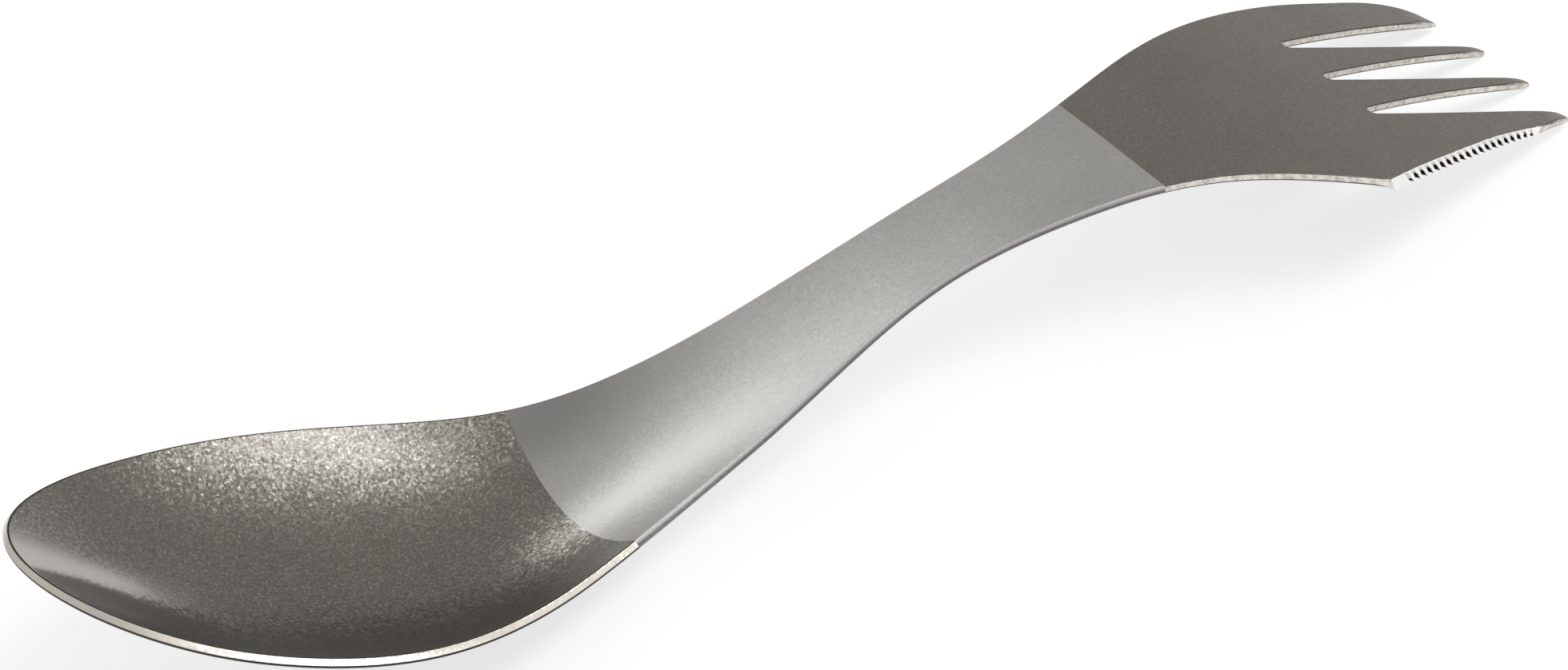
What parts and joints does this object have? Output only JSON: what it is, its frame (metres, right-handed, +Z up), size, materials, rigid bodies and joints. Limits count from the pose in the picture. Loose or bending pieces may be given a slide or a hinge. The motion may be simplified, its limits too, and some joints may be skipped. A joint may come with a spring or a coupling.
{
  "type": "spork",
  "caption": "Titanium camping spork pressed from one sheet: a deep spoon bowl at one end, a waisted handle, and an arched fork with a serrated knife edge along one side at the other.",
  "frame": {"origin": "the middle of the small flat under the bowl on which the spork rests, on the table's plane", "axes": "+X runs along the spork from the bowl's tip towards the tines, +Z is up as it rests with the bowl open upwards, +Y points to the plain side, away from the serrated edge"},
  "size_m": [0.1708, 0.0418, 0.029],
  "materials": {
    "satin_titanium": "fine satin, dark warm grey",
    "blasted_titanium": "bead blasted, pale and matte",
    "polished_titanium": "smooth satin polish, dark warm grey",
    "ground_titanium": "ground bright"
  },
  "bodies": {
    "root": {"spoon_bowl": "satin_titanium", "handle": "blasted_titanium", "fork_palm": "polished_titanium", "plain_outer_tine": "polished_titanium", "plain_inner_tine": "polished_titanium", "knife_inner_tine": "polished_titanium", "knife_tine": "polished_titanium", "serrated_edge": "ground_titanium"}
  },
  "joints": []
}
